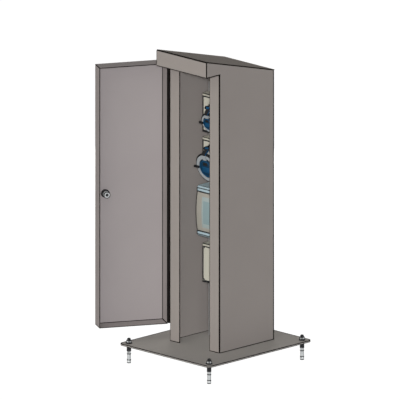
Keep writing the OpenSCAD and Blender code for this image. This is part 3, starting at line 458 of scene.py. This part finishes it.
nuts = bmesh.new()
for spot in ANCHORS:
    nut = bmesh.new()
    bmesh.ops.create_cone(nut, cap_ends=True, segments=6, radius1=NUT_FLATS / math.sqrt(3) * MM,
                          radius2=NUT_FLATS / math.sqrt(3) * MM, depth=(NUT_HIGH - NUT_LOW) * MM)
    bmesh.ops.bevel(nut, geom=nut.edges[:], offset=NUT_EDGE * MM, offset_type="OFFSET", segments=1, profile=0.5,
                    affect="EDGES", material=1)
    for face in nut.faces:
        if face.normal.z > SQUARE_ON:
            face.material_index = 1
    place = Matrix.Translation(spot + Vector((0, 0, (NUT_LOW + NUT_HIGH) / 2 * MM)))
    add_to(nuts, nut, place @ Matrix.Rotation(NUT_TURN, 4, "Z"), None)
add_piece("anchor_hex_nuts", nuts, [zinc, black_oxide], "cabinet", ["anchor_nuts"])

rings = bmesh.new()
for spot in ANCHORS:
    for middle, radius, half in RINGS:
        ring = lathe([(RING_BORE, middle - half), (radius - RING_EDGE, middle - half),
                      (radius + RING_EDGE, middle - half / 2), (radius + RING_EDGE, middle + half / 2),
                      (radius - RING_EDGE, middle + half), (RING_BORE, middle + half)])
        add_to(rings, ring, Matrix.Translation(spot))
add_piece("anchor_rings", rings, [black_rubber], "cabinet")

# Door hinge
# A full-height piano hinge with rolled knuckles, welded to the body and the door; its near-black coat is painted
# shade of the gap between door and body.
# Two black rubber draught strips, one on the body and one on the door, close the slits behind the knuckles.
dress(edge_shade_coat, "hinge_frame_leaf", "hinge_pin", "hinge_door_leaf")


def block(low, high, edge, segments=2):
    """A block between two corners in millimetres, with its edges rounded."""
    part = bmesh.new()
    low, high = Vector(low) * MM, Vector(high) * MM
    size = high - low
    bmesh.ops.create_cube(part, size=1, matrix=Matrix.Translation((low + high) / 2) @ Matrix.Diagonal((*size, 1)))
    bmesh.ops.bevel(part, geom=part.edges[:], offset=edge * MM, offset_type="OFFSET", segments=segments, profile=0.5,
                    affect="EDGES", material=-1)
    return part


STRIP_OUT = 2.6
STRIP_Y = (-103.2, -97.0)
STRIP_EDGE = 0.4
hinge_low, hinge_high = (corner.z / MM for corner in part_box("hinge_pin"))
draught = block((foot_low.x - STRIP_OUT, STRIP_Y[0], hinge_low), (foot_low.x, STRIP_Y[1], hinge_high), STRIP_EDGE)
add_piece("body_draught_strip", draught, [black_rubber], "cabinet")

DOOR_OPEN = math.radians(120)
HINGE_AXIS = Vector((-128.5, -106.25, 0)) * MM
door_stored = (Matrix.Translation(HINGE_AXIS) @ Matrix.Rotation(-DOOR_OPEN, 4, "Z")
               @ Matrix.Translation(-HINGE_AXIS))
door_strip_y = [2 * HINGE_AXIS.y / MM - y for y in STRIP_Y]
door_strip = block((foot_low.x - STRIP_OUT, door_strip_y[1], hinge_low),
                   (foot_low.x, door_strip_y[0], hinge_high), STRIP_EDGE)
door_draught = bmesh.new()
add_to(door_draught, door_strip, door_stored)
add_piece("door_draught_strip", door_draught, [black_rubber], "door")

# Quarter-turn lock
# A turned zinc housing through the door, held behind it by a black hexagon nut on its thread, with a dark
# spindle that the key turns and a snap ring at the inner end.
dress(zinc, "lock_housing")
dress(black_oxide, "lock_spindle", "lock_nut")

LOCK_SEAT = Vector((88.0, -168.5, 544.75)) * MM
LOCK_R = 11.0
LOCK_NUT_T = 10.0
LOCK_IN = 27.0
LOCK_PITCH = 1.5
LOCK_TURNS = 8
LOCK_RIDGE = 0.35
LOCK_GAP = 0.4
along_lock = door_stored @ Matrix.Translation(LOCK_SEAT) @ Matrix.Rotation(-math.pi / 2, 4, "X")
lock_fittings = bmesh.new()
add_to(lock_fittings, thread(LOCK_R, LOCK_NUT_T + LOCK_GAP, LOCK_TURNS, LOCK_PITCH, LOCK_RIDGE, 32), along_lock)
snap_ring = lathe([(LOCK_R - 2.6, LOCK_IN - 2.4), (LOCK_R + 0.9, LOCK_IN - 2.4), (LOCK_R + 1.2, LOCK_IN - 2.0),
                   (LOCK_R + 1.2, LOCK_IN - 0.5), (LOCK_R + 0.7, LOCK_IN), (LOCK_R - 1.2, LOCK_IN + 0.2),
                   (LOCK_R - 1.6, LOCK_IN - 0.4)], 48)
add_to(lock_fittings, snap_ring, along_lock, 1)
add_piece("lock_thread_and_ring", lock_fittings, [zinc, black_oxide], "door")

# Mounting plate
# A zinc-plated steel sheet that carries all the equipment, its folded foot welded to the base plate. Two
# tubular stays hold it off the back wall, on bolts that run through the wall to nuts in front of the sheet.
dress(zinc, "mounting_plate", "mounting_stays", "stay_bolts", "stay_nuts")

# Socket boxes
# Surface boxes of cream ABS, injection moulded; the black along their rounded front edges is painted shade, left off
# the lit top edge.
# Moulded ABS is an even, satin plastic with a very fine spark-eroded grain.
GRAIN = 2.5 * MM  # the real grain is about 0.1 mm; drawn coarser so that it shows
DRIFT = 70 * MM


def moulded(name, tones, shine, dullest, specular=0.35):
    """A moulded plastic: two close tones that drift over the piece, and a fine grain in its gloss."""
    made = bpy.data.materials.new(name)
    made.use_nodes = True
    tree = made.node_tree
    tree.nodes.clear()
    place = add_node(tree, "TexCoord")
    drift = add_node(tree, "TexNoise", {"Scale": 1 / DRIFT, "Detail": 3.0}, {"Vector": (place, "Object")})
    tone = add_node(tree, "Mix", {"data_type": "RGBA", 6: linear(tones[0]), 7: linear(tones[1])}, {0: (drift, "Fac")})
    grain = add_node(tree, "TexNoise", {"Scale": 1 / GRAIN, "Detail": 2.0}, {"Vector": (place, "Object")})
    dull = add_node(tree, "MapRange", {"To Min": shine, "To Max": dullest}, {"Value": (grain, "Fac")})
    relief = add_node(tree, "Bump", {"Strength": 0.04, "Distance": 0.5 * MM}, {"Height": (grain, "Fac")})
    skin = add_node(tree, "BsdfPrincipled", {"IOR": 1.53, "Specular IOR Level": specular},
                    {"Base Color": (tone, 2), "Roughness": (dull, 0), "Normal": (relief, 0)})
    add_node(tree, "OutputMaterial", {}, {"Surface": (skin, 0)})
    return made


cream_abs = moulded("cream_moulded_abs", ("#c6c4b6", "#bebcae"), 0.4, 0.55)
# width of the black border of painted shade round the box fronts
SHADE_BORDER = 1.5
LEANS_FORWARD = 0.15
# painted shade falls on front edges that face sideways and down, and in a line above the top edge; the lit top edge
# between stays cream
FACES_SIDE, FACES_UP = 0.3, 0.8  # between them the top edge stays cream


def with_painted_edge_shade(node):
    """A copy of a moulded box with painted shade in black along its front border and rounded front edges, all but the
    lit top edge.
    """
    shell = copy_of(node)
    fronts = [region for region in flat_regions(shell, FLAT) if region[0].normal.y < -SQUARE_ON]
    front = max(fronts, key=lambda region: sum(face.calc_area() for face in region))
    bmesh.ops.inset_region(shell, faces=front, thickness=SHADE_BORDER * MM, use_boundary=True, use_even_offset=True)
    inner = set(front)
    for face in shell.faces:
        face.normal_update()
        level, up = -face.normal.y, face.normal.z
        if face not in inner and level > LEANS_FORWARD and (up < FACES_SIDE or up > FACES_UP):
            face.material_index = 1
    return shell


for size in ("16", "32"):
    add_piece("box_" + size, with_painted_edge_shade("socket_box_" + size), [cream_abs, black_rubber], "cabinet",
              ["socket_box_" + size])

# Socket outlets
# A grey polyamide collar with a black gasket behind its rim, carried out from the box by a pale neck; a
# blue contact carrier with brass sleeves inside; and a sprung lid of blue polyamide with a raised panel,
# on a grey arm that reaches over the rim to a black hinge. A black ring round the lid and a black block on its
# upper part are painted shade.
grey_polyamide = moulded("grey_moulded_polyamide", ("#a3aaad", "#999fa2"), 0.4, 0.55)
pale_polyamide = moulded("pale_grey_moulded_polyamide", ("#d4d6d2", "#c6c8c4"), 0.4, 0.55)
blue_polyamide = moulded("blue_moulded_polyamide", ("#0a3854", "#082f48"), 0.4, 0.55, 0.2)
bright_blue = moulded("bright_blue_moulded_polyamide", ("#104d74", "#0e4467"), 0.4, 0.55, 0.2)
black_polyamide_and_painted_shade = moulded("black_moulded_polyamide_and_painted_shade", ("#131416", "#1d1e20"), 0.4, 0.6, 0.2)
BRASS = ("#bd9a4c", "#a5843d")
brass = bpy.data.materials.new("turned_brass")  # a warm yellow metal, its gloss broken by fine tool marks
brass.use_nodes = True
tree = brass.node_tree
tree.nodes.clear()
place = add_node(tree, "TexCoord")
turned = add_node(tree, "TexNoise", {"Scale": 1 / DRAWN, "Detail": 2.0}, {"Vector": (place, "Object")})
tone = add_node(tree, "Mix", {"data_type": "RGBA", 6: linear(BRASS[0]), 7: linear(BRASS[1])}, {0: (turned, "Fac")})
dull = add_node(tree, "MapRange", {"To Min": 0.22, "To Max": 0.4}, {"Value": (turned, "Fac")})
skin = add_node(tree, "BsdfPrincipled", {"Metallic": 1.0}, {"Base Color": (tone, 2), "Roughness": (dull, 0)})
add_node(tree, "OutputMaterial", {}, {"Surface": (skin, 0)})

SOCKET_TILT = math.radians(15)
COLLAR_T = 8.0
RIM_BACK = -3.2
RIM_EDGE = 1.6
RIM_STEPS = 64
HAIR = 0.05
GASKET_IN, GASKET_OUT = 3, 4.0
GASKET_EDGE = 0.5
GASKET_LOW, GASKET_HIGH = -7, -3
LID_TOP = 5.3
KNUCKLE_R = 6

for size, body, centre, collar_r, lid_r, pin in (
    ("16", "lid_small", (0, -34.5, 811.5), 35.0, 23.5, (55.7, -14.4)),
    ("32", "lid_large", (0, -42.0, 649.0), 52.5, 35.0, (69.0, -20.6)),
):
    facing = Matrix.Translation(Vector(centre) * MM) @ Matrix.Rotation(math.pi / 2 + SOCKET_TILT, 4, "X")
    dress(blue_polyamide, "socket_insert_" + size)
    dress(brass, "socket_contacts_" + size)
    dress(black_polyamide_and_painted_shade, "socket_stud_" + size, "lid_bracket_" + size)
    dress(zinc, "lid_pin_" + size)
    dress(black_rubber, "lid_seal_" + size)

    collar = copy_of("socket_collar_" + size)
    bmesh.ops.transform(collar, verts=collar.verts, matrix=facing.inverted())
    cut_across(collar, (0, 0, RIM_BACK * MM), (0, 0, 1))
    for face in collar.faces:
        spot = face.calc_center_median() / MM
        reach = math.hypot(spot.x, spot.y)
        if spot.z > RIM_BACK:
            face.material_index = 1 if reach > collar_r - RIM_EDGE and spot.z < -HAIR else 0
        else:
            face.material_index = 1 if spot.z > -COLLAR_T - HAIR else 2
    gasket_r = collar_r + GASKET_OUT
    gasket = lathe([(collar_r - GASKET_IN, GASKET_LOW), (gasket_r - GASKET_EDGE, GASKET_LOW),
                    (gasket_r, GASKET_LOW + GASKET_EDGE), (gasket_r, GASKET_HIGH - GASKET_EDGE),
                    (gasket_r - GASKET_EDGE, GASKET_HIGH), (collar_r - GASKET_IN, GASKET_HIGH)], RIM_STEPS)
    add_to(collar, gasket, Matrix(), 1)
    # a black ring round the lid: painted shade of the gap between the lid and the collar
    lid_gap_shade_ring = lathe([(lid_r - 1, -0.5), (lid_r - 1, 0.3), (lid_r + 2.6, 0.3), (lid_r + 3, -0.5)], RIM_STEPS)
    add_to(collar, lid_gap_shade_ring, Matrix(), 1)
    for turn in range(4):
        screw = lathe([(0, 1.2), (1.8, 1.2), (2.6, 0.5), (2.6, -1)], 16)
        along = Matrix.Rotation(math.radians(45 + 90 * turn), 4, "Z")
        add_to(collar, screw, along @ Matrix.Translation(((lid_r + collar_r) / 2 * MM, 0, 0)))
    bmesh.ops.transform(collar, verts=collar.verts, matrix=facing)
    add_piece("collar_" + size, collar, [grey_polyamide, black_polyamide_and_painted_shade, pale_polyamide], "cabinet",
              ["socket_collar_" + size])

    lid = copy_of("socket_lid_" + size)
    bmesh.ops.transform(lid, verts=lid.verts, matrix=facing.inverted())
    arm_start, arm_end = lid_r - 0.5, collar_r + 1.0
    for cut in (arm_start, arm_end):
        cut_across(lid, (0, cut * MM, 0), (0, 1, 0))
    for face in lid.faces:
        spot = face.calc_center_median() / MM
        if math.hypot(spot.y - pin[0], spot.z - pin[1]) < KNUCKLE_R:
            face.material_index = 1
        elif spot.y > arm_end:
            face.material_index = 3
        elif spot.y > arm_start:
            face.material_index = 2
        else:
            face.material_index = 0
    panel_half = 0.56 * lid_r
    panel = block((-panel_half, -0.42 * lid_r, LID_TOP - 2.5), (panel_half, 0.2 * lid_r, LID_TOP + 1.2), 1.2)
    add_to(lid, panel, Matrix(), 1)
    # a black block over the upper part of the lid: painted shade of the lid's top
    lid_top_painted_shade = block((-0.3 * lid_r, 0.36 * lid_r, LID_TOP - 2.5), (0.3 * lid_r, 0.72 * lid_r, LID_TOP + 0.6), 0.8)
    add_to(lid, lid_top_painted_shade, Matrix(), 3)
    rim = lathe([(0.80 * lid_r, LID_TOP - 3), (0.82 * lid_r, LID_TOP + 0.2), (0.88 * lid_r, LID_TOP + 0.2),
                 (0.90 * lid_r, LID_TOP - 3)], RIM_STEPS)
    add_to(lid, rim, Matrix(), 1)
    bmesh.ops.transform(lid, verts=lid.verts, matrix=facing)
    add_piece("lid_" + size, lid, [blue_polyamide, bright_blue, grey_polyamide, black_polyamide_and_painted_shade], body,
              ["socket_lid_" + size])

# Distribution unit
# A small surface unit: a base and a cover with two end caps of blue-grey ABS, and between them a bowed front
# door of warm grey ABS with a window, hinged at the right on two pins. Thin black rubber seals line the joints.
# The window is tinted polycarbonate, clear and glossy, with a paler frosted rim.
blue_grey_abs = moulded("blue_grey_moulded_abs", ("#aec3ca", "#a4bac1"), 0.35, 0.5)
warm_grey_abs = moulded("warm_grey_moulded_abs", ("#a5a298", "#9d9a90"), 0.4, 0.55)
white_polyamide = moulded("white_moulded_polyamide", ("#dcdcd6", "#d2d2cc"), 0.4, 0.55)
dress(blue_grey_abs, "unit_base", "unit_cover")
dress(zinc, "unit_door_pins")

UNIT_LOW, UNIT_HIGH = (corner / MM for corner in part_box("unit_cover"))
CAP_H = 22.0
UNIT_BEVEL = 8.0
TRIM = 3.2
SEAM = 4.4
SEAM_LAP = 0.2
SEAM_INSET = 0.3
SEAM_PROUD = 0.5
SEAM_DEEP = 3.0
SEAM_EDGE = 0.4
LINE = 1.4
LINE_PROUD = 0.15
LINE_DEEP = 1.2
LINE_EDGE = 0.1
SIDE_LINE = 0.6
SIDE_PROUD = 0.2
SIDE_DEEP = 1.0
SIDE_SHORT = 0.5
SIDE_EDGE = 0.2
front_y = UNIT_LOW.y
bevel_y = UNIT_LOW.y + UNIT_BEVEL
seals = bmesh.new()
# the seams between the end caps and the front door
for low in (UNIT_LOW.z + CAP_H + SEAM_LAP - SEAM, UNIT_HIGH.z - CAP_H - SEAM_LAP):
    add_to(seals, block((UNIT_LOW.x + SEAM_INSET, front_y - SEAM_PROUD, low),
                        (UNIT_HIGH.x - SEAM_INSET, front_y + SEAM_DEEP, low + SEAM), SEAM_EDGE))
# the sides of the caps, where their bevels start
for low in (UNIT_LOW.z, UNIT_HIGH.z - CAP_H):
    for side in (UNIT_LOW.x, UNIT_HIGH.x - SIDE_LINE):
        add_to(seals, block((side - SIDE_PROUD, bevel_y - SIDE_LINE, low + SIDE_SHORT),
                            (side + SIDE_DEEP, bevel_y + SIDE_LINE, low + CAP_H - SIDE_SHORT), SIDE_EDGE))
# the front and the ends of the caps, along both edges of the bevels
for height in (UNIT_HIGH.z - UNIT_BEVEL, UNIT_LOW.z + UNIT_BEVEL):
    add_to(seals, block((UNIT_LOW.x, front_y - LINE_PROUD, height - LINE),
                        (UNIT_HIGH.x, front_y + LINE_DEEP, height + LINE), LINE_EDGE))
for height in (UNIT_HIGH.z - LINE_DEEP, UNIT_LOW.z):
    add_to(seals, block((UNIT_LOW.x, bevel_y - LINE, height),
                        (UNIT_HIGH.x, bevel_y + LINE, height + LINE_DEEP), LINE_EDGE))
# the left edges of the caps' fronts
for low in (UNIT_LOW.z + UNIT_BEVEL, UNIT_HIGH.z - CAP_H):
    add_to(seals, block((UNIT_LOW.x - LINE_PROUD, front_y - LINE_PROUD, low),
                        (UNIT_LOW.x + TRIM, front_y + LINE_DEEP, low + CAP_H - UNIT_BEVEL), LINE_EDGE))
add_piece("unit_seals", seals, [black_rubber], "cabinet")

front = copy_of("unit_door")
trim_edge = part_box("unit_door")[0].x + TRIM * MM
cut_across(front, (trim_edge, 0, 0), (1, 0, 0))
for face in front.faces:
    face.material_index = 1 if face.calc_center_median().x < trim_edge else 0
add_piece("unit_front", front, [warm_grey_abs, black_polyamide_and_painted_shade], "unit_front", ["unit_door"])

TINT = ("#9db3b5", "#93aaad")
TINT_AT_RIM = ("#b4c1bf", "#abb9b8")
window = bpy.data.materials.new("tinted_polycarbonate")
window_rim = bpy.data.materials.new("frosted_polycarbonate")
for pane, tones in ((window, TINT), (window_rim, TINT_AT_RIM)):
    pane.use_nodes = True
    tree = pane.node_tree
    tree.nodes.clear()
    place = add_node(tree, "TexCoord")
    flow = add_node(tree, "TexNoise", {"Scale": 1 / DRIFT, "Detail": 2.0}, {"Vector": (place, "Object")})
    tone = add_node(tree, "Mix", {"data_type": "RGBA", 6: linear(tones[0]), 7: linear(tones[1])}, {0: (flow, "Fac")})
    dull = add_node(tree, "MapRange", {"To Min": 0.08, "To Max": 0.2}, {"Value": (flow, "Fac")})
    skin = add_node(tree, "BsdfPrincipled", {"IOR": 1.58, "Alpha": 0.75, "Specular IOR Level": 0.2},
                    {"Base Color": (tone, 2), "Roughness": (dull, 0)})
    add_node(tree, "OutputMaterial", {}, {"Surface": (skin, 0)})

glazing = copy_of("unit_glazing")
pane_low, pane_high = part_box("unit_glazing")
RIM_SIDE = 7 * MM
RIM_ENDS = 15 * MM
clear_low = pane_low + Vector((RIM_SIDE, 0, RIM_ENDS))
clear_high = pane_high - Vector((RIM_SIDE, 0, RIM_ENDS))
for corner in (clear_low, clear_high):
    for across in ((1, 0, 0), (0, 0, 1)):
        cut_across(glazing, corner, across)
for face in glazing.faces:
    spot = face.calc_center_median()
    clear = clear_low.x < spot.x < clear_high.x and clear_low.z < spot.z < clear_high.z
    face.material_index = 0 if clear else 1
add_piece("unit_window", glazing, [window, window_rim], "unit_front", ["unit_glazing"])

# Devices
# A residual-current device and two circuit breakers of white polyamide snapped on a zinc-plated rail, with
# moulded levers and a test button, between two brass terminal bars.
dress(zinc, "din_rail")
dress(brass, "terminal_bars")
dress(white_polyamide, "rcd_body", "mcb_body_1", "mcb_body_2")
dress(blue_polyamide, "rcd_lever")
dress(grey_polyamide, "test_button")
dress(black_polyamide_and_painted_shade, "mcb_lever_1", "mcb_lever_2")

# Junction box
# A cream ABS box with a lid on four black polyamide screws, with painted shade in black along its front edges, and
# a block of terminals inside. Black polyamide cable glands are screwed in here and under the other boxes.
dress(cream_abs, "junction_base")
add_piece("junction_cover", with_painted_edge_shade("junction_lid"), [cream_abs, black_rubber], "cabinet",
          ["junction_lid"])
dress(warm_grey_abs, "junction_terminals")
dress(black_polyamide_and_painted_shade, "cable_glands", "junction_screws")
